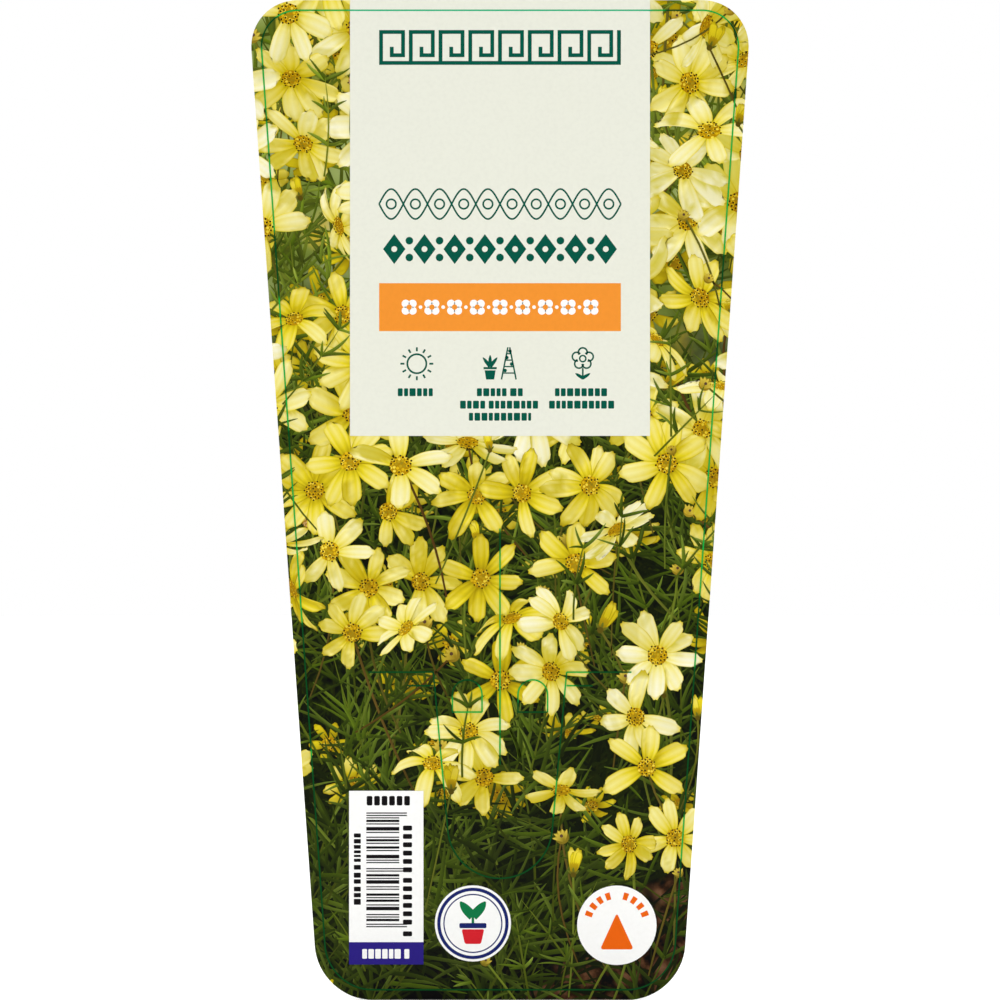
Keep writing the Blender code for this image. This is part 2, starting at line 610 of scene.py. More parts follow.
def petal(film, pattern, stand, first, length, width, form, tone, lift):
    """A ray floret: a long oval with a notched tip, a fine yellow rim and two faint veins,
    standing out of the disc at first. The form is its rise, droop, cup and sway."""
    rise, droop, cup, sway = form

    def shape(co):
        across, along = 2 * co.x, co.y + 0.5
        across = copysign(abs(across) ** 0.55, across)
        waist = 1 - 0.58 * max(0.0, 1 - along / 0.5) ** 1.6
        shoulder = sqrt(1 - 0.80 * (max(0.0, along - 0.74) / 0.26) ** 2)
        half = width / 2 * waist * shoulder
        notch = 0.02 * along**12 * cos(2 * pi * across)
        out = first + length * (along - 0.09 * across**2 * along**6 - notch)
        near = length * (rise * along - droop * along**2) + cup * half * across**2
        place = stand @ Vector((across * half + sway * length * along**2, -near, out))
        share = tone + 0.42 * abs(across) ** 9 + 0.62 * (1 - along) ** 3
        share += 0.50 * max(0.0, (along - 0.84) / 0.16) ** 2
        if 0.4 < abs(across) < 0.6:
            share += 0.16
        return place, petal_ink(share)

    film.add(pattern, shape, lift)


disc_gold = display(226, 188, 28)
disc_bright = display(244, 218, 70)
disc_amber = display(186, 142, 14)
disc_brown = display(158, 116, 18)
disc_dark = display(44, 26, 4)
disc_green = display(140, 122, 30)
spiral_turn = 2.39996
flat_circle = {"cap_ends": True, "radius": 1.0, "matrix": Matrix.Rotation(pi / 2, 4, "X")}
circles = {
    sides: Pattern(bmesh.ops.create_circle, segments=sides, **flat_circle)
    for sides in (5, 6, 12, 16, 48)
}


def round_spot(film, stand, place, radius, sides, colour, lift):
    film.add(circles[sides], lambda co: (stand @ (co * radius + place), colour), lift)


def disc(film, draw, stand, radius, florets, faded, lift, step):
    """The eye of a flower: a low dome of florets in a spiral, ringed by dark anthers."""
    base = disc_brown if faded else disc_amber
    round_spot(film, stand, Vector(), radius, 16, base, lift)
    for index in range(florets):
        share = sqrt((index + 0.5) / florets)
        angle = index * spiral_turn
        dome = 0.55 * radius * (1 - share**2)
        place = Vector((share * radius * cos(angle), -dome, share * radius * sin(angle)))
        size = 0.86 * radius / sqrt(florets)
        colour = disc_gold if draw.random() < 0.5 else disc_bright
        if share < 0.45:
            colour = blend_colours(disc_green, disc_gold, 0.6 * draw.random())
        if faded:
            colour = blend_colours(display(150, 112, 66), display(208, 170, 110), draw.random())
        over = lift + step * (1 + 0.9 * index / florets)
        round_spot(film, stand, place, size, 6, colour, over)
        if draw.random() < (0.80 if share > 0.5 else 0.3):
            round_spot(film, stand, place * 1.09, 0.70 * size, 5, disc_dark, over + step)


def facing(draw, centre, tilt, aim):
    """The place and turn of a flower that leans by tilt about an axis at angle aim."""
    lean = Matrix.Rotation(tilt, 4, direction(aim))
    spin = Matrix.Rotation(draw.uniform(0, 2 * pi), 4, "Y")
    return Matrix.Translation(centre) @ lean @ spin


def bloom(film, draw, pattern, centre, radius, tilt, aim, tone, florets, lift, step):
    """One open flower: six to nine petals round a disc, of which one may be gone."""
    stand = facing(draw, centre, tilt, aim)
    count = draw.choice((6, 7, 8, 8, 8, 9))
    disc_radius = 1.35 * mm + draw.uniform(0.085, 0.115) * radius
    rise, droop = draw.uniform(0.05, 0.35), draw.uniform(0.0, 0.55)
    for index in range(count):
        if draw.random() < 0.08:
            continue
        angle = 2 * pi * index / count + draw.uniform(-0.20, 0.20)
        turn = stand @ Matrix.Rotation(angle, 4, "Y")
        form = (
            rise + draw.uniform(-0.12, 0.12),
            droop + draw.uniform(-0.12, 0.20),
            draw.uniform(-0.5, 0.6),
            draw.uniform(-0.12, 0.12),
        )
        first = 0.55 * disc_radius
        length = radius * draw.uniform(0.88, 1.04) - first
        width = radius * draw.uniform(0.30, 0.42)
        shade = tone + draw.uniform(-0.06, 0.12)
        layer = 2 if index == count - 1 else index % 2
        petal(film, pattern, turn, first, length, width, form, shade, lift + layer * step)
    disc(film, draw, stand, disc_radius, florets, False, lift + 3 * step, step)


def fan(film, foot, heading, count, spread, length, width, curve, colours, lift, first, step):
    """Short thread leaves that spread from one foot, each laid over the one before."""
    for index in range(count):
        aim = heading + (index - (count - 1) / 2) * spread
        over = lift + (first + 0.4 * index) * step
        thread_leaf(film, foot, aim, length, width, curve, colours, over)


def half_open(film, draw, centre, size, heading, lift, step):
    """A flower that is opening or closing: a sheaf of narrow golden petals that turns
    olive brown towards its base, with a few green sepals."""
    for index in range(6):
        lean = heading - pi / 2 + draw.uniform(-0.30, 0.30)
        turn = Matrix.Translation(centre) @ Matrix.Rotation(-lean, 4, "Y")
        form = (0.0, 0.2, 0.3, draw.uniform(-0.1, 0.1))
        tone = draw.uniform(0.58, 0.76)
        length, width = size * draw.uniform(0.8, 1.0), size * draw.uniform(0.20, 0.28)
        petal(film, coarse_petal, turn, 0.0, length, width, form, tone, lift + 0.4 * index * step)
    base = display(104, 84, 18)
    browns, greens = (base, display(196, 166, 22)), (base, display(104, 118, 40))
    foot = centre - direction(heading) * 0.06 * size
    fan(film, foot, heading, 5, 0.14, 0.5 * size, 0.13 * size, 0.0, browns, lift, 3, step)
    fan(film, centre, heading, 3, 0.9, 0.26 * size, 0.09 * size, 0.1, greens, lift, 5.2, step)
    stand = Matrix.Translation(centre)
    round_spot(film, stand, Vector(), 0.10 * size, 12, display(92, 80, 24), lift + 6.6 * step)


def bud(film, draw, centre, radius, heading, lift, step):
    """A round closed bud: green-yellow, lighter on the side of the light, with the dark
    tips of its florets in the middle."""
    stand = Matrix.Translation(centre)
    ink = blend_colours(display(150, 132, 38), display(206, 172, 48), draw.random())
    round_spot(film, stand, Vector(), radius, 16, darker(ink, 0.62), lift)
    shine = Vector((-0.16, 0, 0.18)) * radius
    round_spot(film, stand, shine, 0.74 * radius, 12, ink, lift + step)
    yellows = (darker(ink, 0.75), display(222, 198, 74))
    foot = centre - direction(heading) * 0.5 * radius
    fan(film, foot, heading, 5, 0.42, 1.6 * radius, 0.5 * radius, 0.1, yellows, lift, 2, step)
    eye = direction(heading) * 0.2 * radius
    round_spot(film, stand, eye, 0.26 * radius, 6, display(92, 66, 52), lift + 4.5 * step)


# Where things grow. The bed fills the label, but what the cream panel would hide is left
# out. Flowers are dense at the sides of the panel and thin out towards the soil.
panel_half_width = 40.95 * mm
panel_foot = 154.0 * mm


def hidden(x, z, reach):
    """Whether a shape that reaches this far from (x, z) is all under the cream panel."""
    return abs(x) < panel_half_width - reach and z > panel_foot + reach


def on_label(x, z, reach):
    half = bottom_width / 2 + z * tan(side_lean)
    return abs(x) < half + reach and -reach < z < height + reach


def thickness_of_bed(x, z):
    """How likely a flower is to stand at a place, from 0 to 1."""
    likely = limited((z - 27 * mm) / (85 * mm))
    if x > 0 and z < 100 * mm:
        likely *= 0.7
    return likely if z > 140 * mm else 0.58 * likely


def scattered(draw, count, apart, reach, likely):
    """Random places on the label, no two closer than apart, where likely allows."""
    places = []
    for _ in range(count * 60):
        x, z = draw.uniform(-75, 75) * mm, draw.uniform(-8, 281) * mm
        if not on_label(x, z, reach) or hidden(x, z, 0.9 * reach):
            continue
        if draw.random() > likely(x, z):
            continue
        if all((x - a) ** 2 + (z - b) ** 2 > apart**2 for a, b in places):
            places.append((x, z))
        if len(places) == count:
            break
    return places


def greens(*rows):
    return [[display(*levels) for levels in row] for row in rows]


far_greens = greens(
    ((30, 34, 4), (48, 54, 10), (16, 21, 1), (34, 43, 5), (60, 74, 15)),
    ((84, 92, 20), (112, 122, 34), (84, 98, 22), (112, 126, 38), (146, 154, 62)),
)
near_greens = greens(
    ((76, 86, 20), (104, 118, 36), (36, 48, 6), (72, 90, 20), (124, 142, 58)),
    ((106, 116, 26), (136, 144, 46), (82, 102, 20), (114, 134, 36), (164, 176, 74)),
)


def leaf_inks(z, far):
    """The stem's two colours and the leaves' three, lighter and yellower near the top."""
    share = limited((z - 110 * mm) / (110 * mm))
    return tuple(blend_colours(a, b, share) for a, b in zip(*(far_greens if far else near_greens)))


def grow_sprigs(seed, count, far, lifts, nearness):
    """A layer of leafy stems, thin on the soil and among the crowded flowers."""
    film, draw = Film(), random.Random(seed)
    for _ in range(count):
        x, z = draw.uniform(-72, 72) * mm, draw.uniform(-30, 270) * mm
        if not on_label(x, z, 25 * mm) or hidden(x, z, 12 * mm):
            continue
        on_soil = z < 14 * mm and x > 12 * mm
        if draw.random() < (0.45 if z > 150 * mm else 0.7 if on_soil else 0.0):
            continue
        heading = pi / 2 + draw.uniform(-0.95, 0.95)
        foot = Vector((x, -nearness * draw.random(), z))
        in_depth = limited(z / (60 * mm))
        tone = draw.uniform(0.50, 1.15) if far else draw.uniform(0.70, 1.20)
        tone *= 0.55 + 0.45 * in_depth
        inks = tuple(darker(ink, tone) for ink in leaf_inks(z, far))
        thick = draw.uniform(0.4, 0.7) * mm
        fold = 0.0 if far else 0.28
        length = draw.uniform(24, 58) * mm
        reach = (25 - 8 * in_depth) * mm
        sprig(film, draw, foot, heading, length, thick, inks, lifts, fold, reach)
    return film


deep_leaves = grow_sprigs(11, 420, True, (6 * micron, 34 * micron), 2 * mm)
mid_leaves = grow_sprigs(12, 270, False, (76 * micron, 98 * micron), 6 * mm)

far_blooms = Film()
draw = random.Random(21)
for x, z in scattered(draw, 62, 10 * mm, 8 * mm, thickness_of_bed):
    radius = draw.uniform(6.5, 10.0) * mm
    tilt, aim = draw.uniform(0.2, 1.25), draw.uniform(-0.6, 0.6)
    lift = draw.uniform(40, 64) * micron
    centre = Vector((x, -8 * mm * draw.random() - 4 * mm, z))
    tone = draw.uniform(0.45, 0.85)
    bloom(far_blooms, draw, coarse_petal, centre, radius, tilt, aim, tone, 18, lift, 1.5 * micron)

blooms = Film()
stems = Film()
draw = random.Random(56)
heads = []
for x, z in scattered(draw, 85, 12.4 * mm, 11 * mm, thickness_of_bed):
    share = limited(z / (200 * mm))
    radius = (draw.uniform(8.8, 12.0) + 3.8 * share) * mm
    heads.append((draw.uniform(12, 34) * mm, x, z, radius))
heads.sort()
layers = []
for near, x, z, radius in heads:
    below = [
        layer
        for layer, (_, a, b, other) in zip(layers, heads)
        if (x - a) ** 2 + (z - b) ** 2 < (radius + other) ** 2
    ]
    layers.append(1 + max(below, default=0))
layer_step = 144 * micron / max(layers)
for (near, x, z, radius), layer in zip(heads, layers):
    lift = 104 * micron + (layer - 1) * layer_step
    step = layer_step / 7
    centre = Vector((x, -near, z))
    tilt, aim = min(1.2, abs(draw.gauss(0, 0.65))), draw.uniform(-pi, pi)
    tone = draw.uniform(-0.25, 0.27) + 0.39 * (1 - z / height)
    bloom(blooms, draw, fine_petal, centre, radius, tilt, aim, tone, 30, lift + step, step)
    stem_ink = blend_colours(display(116, 134, 44), display(104, 74, 34), draw.random() ** 3)
    heading = -pi / 2 + draw.uniform(-0.55, 0.55)
    length, width = draw.uniform(26, 52) * mm, draw.uniform(0.55, 0.85) * mm
    behind = lift if draw.random() < 0.05 else draw.uniform(80, 98) * micron
    thread_leaf(
        stems, centre + Vector((0, 3 * mm, 0)), heading, length, width,
        draw.uniform(-0.4, 0.4), (stem_ink, darker(stem_ink, 0.6)), behind, 0.3, 0.18,
    )

small_heads = Film()
draw = random.Random(47)
for x, z in scattered(draw, 60, 10 * mm, 3 * mm, lambda x, z: 0.25 + thickness_of_bed(x, z)):
    centre = Vector((x, -draw.uniform(14, 30) * mm, z))
    heading = pi / 2 + draw.uniform(-0.8, 0.8)
    kind = draw.random()
    lift = 250 * micron if draw.random() < 0.25 else 99 * micron
    step = 1.0 * micron
    if kind < 0.44:
        bud(small_heads, draw, centre, draw.uniform(1.3, 2.1) * mm, heading, lift, step)
    elif kind < 0.88:
        half_open(small_heads, draw, centre, draw.uniform(6, 9) * mm, heading, lift, step)
    else:
        stand = facing(draw, centre, draw.uniform(0, 0.7), draw.uniform(-pi, pi))
        disc(small_heads, draw, stand, draw.uniform(1.8, 2.6) * mm, 30, True, lift, step)
    stem_ink = blend_colours(display(112, 128, 40), display(98, 66, 30), draw.random() ** 2)
    thread_leaf(
        stems, centre + Vector((0, 2 * mm, 0)), -heading + draw.uniform(-0.3, 0.3),
        draw.uniform(18, 40) * mm, draw.uniform(0.45, 0.65) * mm, draw.uniform(-0.4, 0.4),
        (stem_ink, darker(stem_ink, 0.7)), lift - 0.5 * micron, 0.3, 0.18,
    )

near_leaves = Film()
draw = random.Random(52)
for _ in range(22):
    x, z = draw.uniform(-70, 70) * mm, draw.uniform(-10, 250) * mm
    if not on_label(x, z, 10 * mm) or hidden(x, z, 8 * mm):
        continue
    inks = tuple(darker(ink, draw.uniform(0.8, 1.1)) for ink in leaf_inks(z, False))
    foot = Vector((x, -30 * mm, z))
    heading = pi / 2 + draw.uniform(-0.8, 0.8)
    length, thick = draw.uniform(18, 34) * mm, draw.uniform(0.4, 0.6) * mm
    lifts = (253 * micron, 261 * micron)
    sprig(near_leaves, draw, foot, heading, length, thick, inks, lifts, 0.25, 9 * mm)


# Light in the bed. A vertex is darker where a flower stands between it and the daylight,
# and a petal is brightest where it is square to the light.
def flower_tree(*films):
    verts, faces = [], []
    for film in films:
        first = len(verts)
        verts += film.places
        faces += [[first + corner for corner in face] for face in film.faces]
    return BVHTree.FromPolygons(verts, faces)


canopy = flower_tree(blooms, far_blooms)
rays = [
    (daylight + Vector(off)).normalized()
    for off in ((0, 0, 0), (0.25, 0, -0.2), (-0.25, 0.1, 0.15))
]


def light_bed(film, shade, shadow_weight, leaning):
    """Turns each vertex's ink towards its shade as far as the light there falls short."""
    data = film.data()
    normals = [v.normal.copy() for v in data.vertices]
    bpy.data.meshes.remove(data)
    for index, (place, normal) in enumerate(zip(film.places, normals)):
        hits = [canopy.ray_cast(place + ray * 0.6 * mm, ray, 45 * mm)[0] for ray in rays]
        blocked = shadow_weight * sum(hit is not None for hit in hits) / len(rays)
        slant = leaning * max(0.0, 1 - 1.3 * abs(normal.dot(daylight)))
        dark = 1 - (1 - blocked) * (1 - slant)
        red, green, blue = (
            level * (1 - dark * (1 - tint)) for level, tint in zip(film.inks[index], shade)
        )
        film.inks[index] = (red, green, blue, 1.0)


light_bed(blooms, (0.64, 0.58, 0.06), 0.9, 0.55)
light_bed(far_blooms, (0.50, 0.46, 0.10), 1.0, 0.6)
light_bed(stems, (0.62, 0.62, 0.5), 1.0, 0.0)
light_bed(small_heads, (0.7, 0.66, 0.4), 0.8, 0.0)
light_bed(mid_leaves, (0.50, 0.52, 0.40), 1.0, 0.0)
light_bed(deep_leaves, (0.38, 0.42, 0.30), 1.0, 0.0)


# Printing. Each film is pressed flat and trimmed to the label's edge. It is parted along
# the tongue's cut, so that what lies on the tongue bends with it.
def convex_sides(outline):
    """One corner and the outward direction of each side of a convex outline."""
    corners = np.array(outline)
    runs = np.roll(corners, -1, 0) - corners
    lengths = np.hypot(runs[:, 0], runs[:, 1])
    kept = lengths > micron
    corners, runs, lengths = corners[kept], runs[kept], lengths[kept]
    outwards = np.column_stack((runs[:, 1], -runs[:, 0])) / lengths[:, None]
    if ((corners - corners.mean(0)) * outwards).sum() < 0:
        outwards = -outwards
    return corners, outwards


def drop_faces(mesh, unwanted):
    """Deletes the faces that are marked, with what no other face needs."""
    faces = [f for f, marked in zip(mesh.faces[:], unwanted) if marked]
    bmesh.ops.delete(mesh, geom=faces, context="FACES")


def join_meshes(mesh, other):
    """Adds the other bmesh's faces to the first, and frees it."""
    data = bpy.data.meshes.new("joined")
    other.to_mesh(data)
    other.free()
    mesh.from_mesh(data)
    bpy.data.meshes.remove(data)


def part_along(mesh, outline):
    """Cuts flat faces along a convex outline. Returns its inside and leaves the rest."""
    corners, outwards = convex_sides(outline)
    reach = (corners * outwards).sum(1)
    places = np.array([(v.co.x, v.co.z) for v in mesh.verts])
    starts, loops = [], []
    mesh.verts.index_update()
    for f in mesh.faces:
        starts.append(len(loops))
        loops += [v.index for v in f.verts]
    beyond = (places @ outwards.T > reach)[loops]
    outside = np.logical_and.reduceat(beyond, starts).any(1)
    inside = ~np.logical_or.reduceat(beyond, starts).any(1)
    inner, band = mesh.copy(), mesh.copy()
    drop_faces(inner, ~inside)
    drop_faces(band, inside | outside)
    drop_faces(mesh, ~outside)
    uncut = set(band.faces)
    for corner, outward in zip(corners, outwards):
        verts = {v for f in uncut for v in f.verts}
        edges = {e for f in uncut for e in f.edges}
        co, normal = (corner[0], 0, corner[1]), Vector((outward[0], 0, outward[1]))
        made = bmesh.ops.bisect_plane(
            band, geom=[*verts, *edges, *uncut], plane_co=co, plane_no=normal
        )["geom"]
        pieces = {f for f in uncut if f.is_valid}
        pieces |= {item for item in made if isinstance(item, bmesh.types.BMFace)}
        limit = Vector(co).dot(normal)
        uncut = {f for f in pieces if f.calc_center_median().dot(normal) < limit}
    band.faces.index_update()
    within = np.zeros(len(band.faces), bool)
    within[[f.index for f in uncut]] = True
    rest = band.copy()
    drop_faces(band, ~within)
    drop_faces(rest, within)
    join_meshes(inner, band)
    join_meshes(mesh, rest)
    return inner


smallest_face = (0.02 * mm) ** 2


def flattened(film):
    """The film as a bmesh, pressed to its heights, facing the front, with no slivers."""
    data = film.data()
    places = np.array(film.places, np.float32).reshape(-1, 3)
    places[:, 1] = plastic_front - np.array(film.lifts)
    data.vertices.foreach_set("co", places.ravel())
    mesh = bmesh.new()
    mesh.from_mesh(data)
    bpy.data.meshes.remove(data)
    drop_faces(mesh, [f.calc_area() < smallest_face for f in mesh.faces])
    mesh.normal_update()
    bmesh.ops.reverse_faces(mesh, faces=[f for f in mesh.faces if f.normal.y > 0])
    return mesh


def varnished_ink():
    """Printing ink of the vertex's own colour, slightly uneven, under the varnish."""
    material, place, shader = surface("varnished_ink")
    ink = place.node("Attribute", {"attribute_name": "ink"})
    thin = place.node("VectorMath", {"operation": "SCALE"}, {0: ink, "Scale": 0.975})
    mottle = place.noise(900.0, 2.0).between(0.35, 0.75)
    feed(shader, {"Base Color": mottle.mix(ink, thin)})
    varnish(place, shader)
    return material


ink_coat = varnished_ink()


def ease_into_strips(mesh):
    """Moves each corner within the bend to the nearest strip's edge. All the inks then
    bend alike, and none comes through the one above it."""
    for vert in mesh.verts:
        drop = (root_height - vert.co.z) / bend_step
        if 0 < drop < bend_steps:
            vert.co.z = root_height - round(drop) * bend_step
    mesh.normal_update()
    drop_faces(mesh, [f.calc_area() < smallest_face for f in mesh.faces])


def print_film(film, name, eased=True):
    """Prints a film on the sheet, and on the tongue where it reaches that."""
    whole = flattened(film)
    on_sheet = part_along(whole, label_outline())
    whole.free()
    on_tongue = part_along(on_sheet, tongue_outline())
    if on_sheet.faces:
        piece = add_piece(name, on_sheet, ink_coat)
        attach(piece, "sheet")
    if on_tongue.faces:
        if eased:
            ease_into_strips(on_tongue)
        strip_root(on_tongue)
        piece = add_piece(name + "_on_tongue", on_tongue, ink_coat)
        hang_from_root(piece)


print_film(deep_leaves, "print_deep_leaves")
print_film(far_blooms, "print_far_flowers")
print_film(mid_leaves, "print_leaves")
print_film(stems, "print_stems")
print_film(small_heads, "print_buds")
print_film(blooms, "print_flowers")
print_film(near_leaves, "print_near_leaves")

# The cream panel. It is one flat tint printed over the picture at the top of the label,
# with ornament in dark green ink: a fret, a twisted band of two fine lines, and a bold
# row of lozenges and beads.
ink_cream = display(234, 235, 221)
ink_green = display(0, 87, 70)
panel_lift = 262 * micron
art_lift = 268 * micron
art_step = 5 * micron
flat_stand = Matrix.Identity(4)


def corner_face(mesh, corners, radius):
    flat_face(mesh, corners)
    if radius:
        round_corners(mesh, mesh.verts[:], radius, 5)


class Pen:
    """Draws flat shapes on a film, at one height. Its ink is a colour, or a function of
    the place."""

    def __init__(self, film, ink, lift):
        self.film = film
        self.ink = ink
        self.lift = lift

    def block(self, corners, radius=0.0):
        """A filled shape through its (x, z) corners, rounded if a radius is given."""
        shape = Pattern(corner_face, corners=corners, radius=radius)
        self.film.add(shape, lambda co: (co, self.ink), self.lift)

    def dot(self, x, z, radius, sides=16):
        round_spot(self.film, flat_stand, Vector((x, 0, z)), radius, sides, self.ink, self.lift)

    def line(self, points, width):
        """A line of even width along a path."""
        path = [Vector((x, 0, z)) for x, z in points]
        rows = len(path) - 1
        strip = Pattern(bmesh.ops.create_grid, x_segments=1, y_segments=rows, size=0.5)
        runs = [(after - before).normalized() for before, after in zip(path, path[1:])]

        def shape(co):
            index = round((co.y + 0.5) * rows)
            entry, leave = runs[max(index - 1, 0)], runs[min(index, rows - 1)]
            middle = (entry + leave).normalized()
            side = Vector((middle.z, 0, -middle.x)) / max(0.5, middle.dot(entry))
            place = path[index] + side * width * co.x
            return place, self.ink(place.x, place.z) if callable(self.ink) else self.ink

        self.film.add(strip, shape, self.lift)


def arc(x, z, radius, first, last, steps):
    """Points along an arc between two angles in degrees."""
    turn = [radians(first + (last - first) * step / steps) for step in range(steps + 1)]
    return [(x + radius * cos(angle), z + radius * sin(angle)) for angle in turn]


cream = Film()
panel_top = height + 2 * mm
panel = bar(-panel_half_width, panel_half_width, panel_foot, panel_top)
Pen(cream, ink_cream, panel_lift).block(panel)
green = Pen(cream, ink_green, art_lift)

ornament_half = 33.0 * mm
fret_foot = 255.3 * mm
fret_height = 9.5 * mm
fret_line = 1.05 * mm
fret_count = 8
fret_pitch = (2 * ornament_half - fret_line) / fret_count
fret_top = fret_foot + fret_height - fret_line / 2
base_top = fret_foot + fret_line
hook_foot = fret_foot + 2.5 * fret_line
green.block(bar(-ornament_half, ornament_half, fret_foot, base_top))
for index in range(fret_count):
    left = -ornament_half + fret_line / 2 + index * fret_pitch
    right = left + 0.74 * fret_pitch
    inside = left + 0.36 * fret_pitch
    key = [(left, base_top), (left, fret_top), (right, fret_top), (right, hook_foot)]
    key += [(inside, hook_foot), (inside, hook_foot + 2.2 * fret_line)]
    green.line(key, fret_line)
green.block(bar(ornament_half - fret_line, ornament_half, base_top, fret_foot + fret_height))

twist_middle = 217.3 * mm
twist_half = 4.1 * mm
twist_eyes = 10
fine_line = 0.48 * mm
twist_steps = 160
for side in (-1, 1):
    wave = []
    for step in range(twist_steps + 1):
        share = step / twist_steps
        x = ornament_half * (2 * share - 1)
        wave.append((x, twist_middle + side * twist_half * sin(pi * twist_eyes * share)))
    Pen(cream, ink_green, art_lift + (1 + side) * micron).line(wave, fine_line)
for index in range(twist_eyes):
    x = ornament_half * ((2 * index + 1) / twist_eyes - 1)
    green.line(arc(x, twist_middle, 1.3 * mm, 0, 360, 24), fine_line)

lozenge_middle = 205.0 * mm
lozenge_half = 4.1 * mm
lozenge_low = lozenge_middle - lozenge_half
lozenge_high = lozenge_middle + lozenge_half
lozenge_count = 8
lozenge_pitch = 2 * ornament_half / lozenge_count
wide = 0.37 * lozenge_pitch
hole = Pen(cream, ink_cream, art_lift + art_step)
for index in range(lozenge_count):
    x = -ornament_half + (index + 0.5) * lozenge_pitch
    left, right = (x - wide, lozenge_middle), (x + wide, lozenge_middle)
    green.block([left, (x, lozenge_low), right, (x, lozenge_high)])
    hole.dot(x, lozenge_middle, 0.8 * mm)
    for bead in (-1, 1) if index else ():
        green.dot(x - lozenge_pitch / 2, lozenge_middle + bead * 2.3 * mm, 1.05 * mm)

# The orange band. It is a second flat tint, printed on the cream panel across the full
# width of the ornament, with a row of small white flowers.
ink_orange = display(244, 150, 54)
ink_white = display(254, 254, 252)
band_low = 182.6 * mm
band_high = 195.7 * mm
band_middle = (band_low + band_high) / 2
floret_count = 9
floret_pitch = 6.2 * mm
floret_out = 1.35 * mm
Pen(cream, ink_orange, art_lift).block(bar(-ornament_half, ornament_half, band_low, band_high))
white = Pen(cream, ink_white, art_lift + art_step)
orange_eye = Pen(cream, ink_orange, art_lift + 1.5 * art_step)
for index in range(floret_count):
    x = (index - (floret_count - 1) / 2) * floret_pitch
    for quarter in range(4):
        angle = pi / 4 + quarter * pi / 2
        white.dot(x + floret_out * cos(angle), band_middle + floret_out * sin(angle), 1.1 * mm)
    orange_eye.dot(x, band_middle, 0.75 * mm)
    if index:
        white.dot(x - floret_pitch / 2, band_middle, 0.5 * mm)

# The three care pictures. They are line drawings in the same green ink: sunshine, planting
# in a pot or against a frame, and flowering. Rows of small blocks stand below them.
icon_middle = 173.7 * mm
icon_foot = 169.4 * mm
sun_x = -22.7 * mm
pot_x = -2.7 * mm
frame_x = 2.4 * mm
flower_x = 22.6 * mm
green.line(arc(sun_x, icon_middle, 2.6 * mm, 0, 360, 32), 0.5 * mm)
for ray in range(12):
    angle = radians(30 * ray)
    ends = [(sun_x + r * cos(angle), icon_middle + r * sin(angle)) for r in (3.4 * mm, 4.5 * mm)]
    green.line(ends, 0.5 * mm)


def spread_leaves(pen, x, z, sides, spread, length, width, curve=0.0):
    """Leaves from one foot, each leaning from upright by its side times the spread."""
    for side in sides:
        inks = (pen.ink, pen.ink)
        over = pen.lift + (2 + side) * micron
        aim = radians(90 + spread * side)
        thread_leaf(pen.film, Vector((x, 0, z)), aim, length, width, curve * side, inks, over)


pot_top = icon_foot + 3.4 * mm
green.block(trapezium(pot_x, icon_foot, pot_top - 0.9 * mm, 1.1 * mm, 1.5 * mm))
green.block(bar(pot_x - 1.8 * mm, pot_x + 1.8 * mm, pot_top - 0.6 * mm, pot_top))
spread_leaves(green, pot_x, pot_top + 0.1 * mm, (-1, 0, 1), 38, 3.2 * mm, 1.0 * mm)

frame_top = 178.2 * mm
frame_half = 2.0 * mm
for side in (-1, 1):
    leg = [(frame_x + side * frame_half, icon_foot), (frame_x + side * 0.25 * mm, frame_top)]
    green.line(leg, 0.42 * mm)
crossing = Pen(cream, ink_green, art_lift + micron)
for rung in range(1, 5):
    share = rung / 5
    z = icon_foot + (frame_top - icon_foot) * share
    half = frame_half * (1 - share) + 0.1 * mm
    crossing.line([(frame_x - half, z), (frame_x + half, z)], 0.36 * mm)
    green.dot(frame_x + (-1) ** rung * 0.6 * half, z + 0.7 * mm, 0.5 * mm, 12)

flower_head = icon_middle + 1.4 * mm
petal_out = 1.75 * mm
for index in range(5):
    angle = radians(90 + 72 * index)
    x, z = flower_x + petal_out * cos(angle), flower_head + petal_out * sin(angle)
    turn = degrees(angle)
    green.line(arc(x, z, 1.2 * mm, turn - 125, turn + 125, 16), 0.45 * mm)
green.line(arc(flower_x, flower_head, 0.85 * mm, 0, 360, 20), 0.42 * mm)
green.line([(flower_x, flower_head - 2.6 * mm), (flower_x, icon_foot)], 0.45 * mm)
spread_leaves(green, flower_x, icon_foot + 0.4 * mm, (-1, 1), -58, 2.4 * mm, 0.9 * mm)


def block_row(pen, draw, x, end_x, z_low, z_high):
    """A row of small round-cornered blocks of uneven width."""
    while x < end_x - 0.7 * mm:
        wide = min(draw.uniform(1.1, 1.8) * mm, end_x - x)
        pen.block(bar(x, x + wide, z_low, z_high), 0.25 * mm)
        x += wide + (1.0 if draw.random() < 0.16 else 0.38) * mm


row_height = 2.15 * mm
row_tops = (167.0 * mm, 163.6 * mm, 160.3 * mm)
draw = random.Random(71)
for left, right, row in (
    (-27.9, -17.3, 0),
    (-6.3, 6.2, 0),
    (-10.9, 10.8, 1),
    (-8.5, 8.5, 2),
    (15.0, 29.8, 0),
    (13.4, 31.8, 1),
):
    top = row_tops[row]
    block_row(green, draw, left * mm, right * mm, top - row_height, top)
print_film(cream, "print_cream_panel")

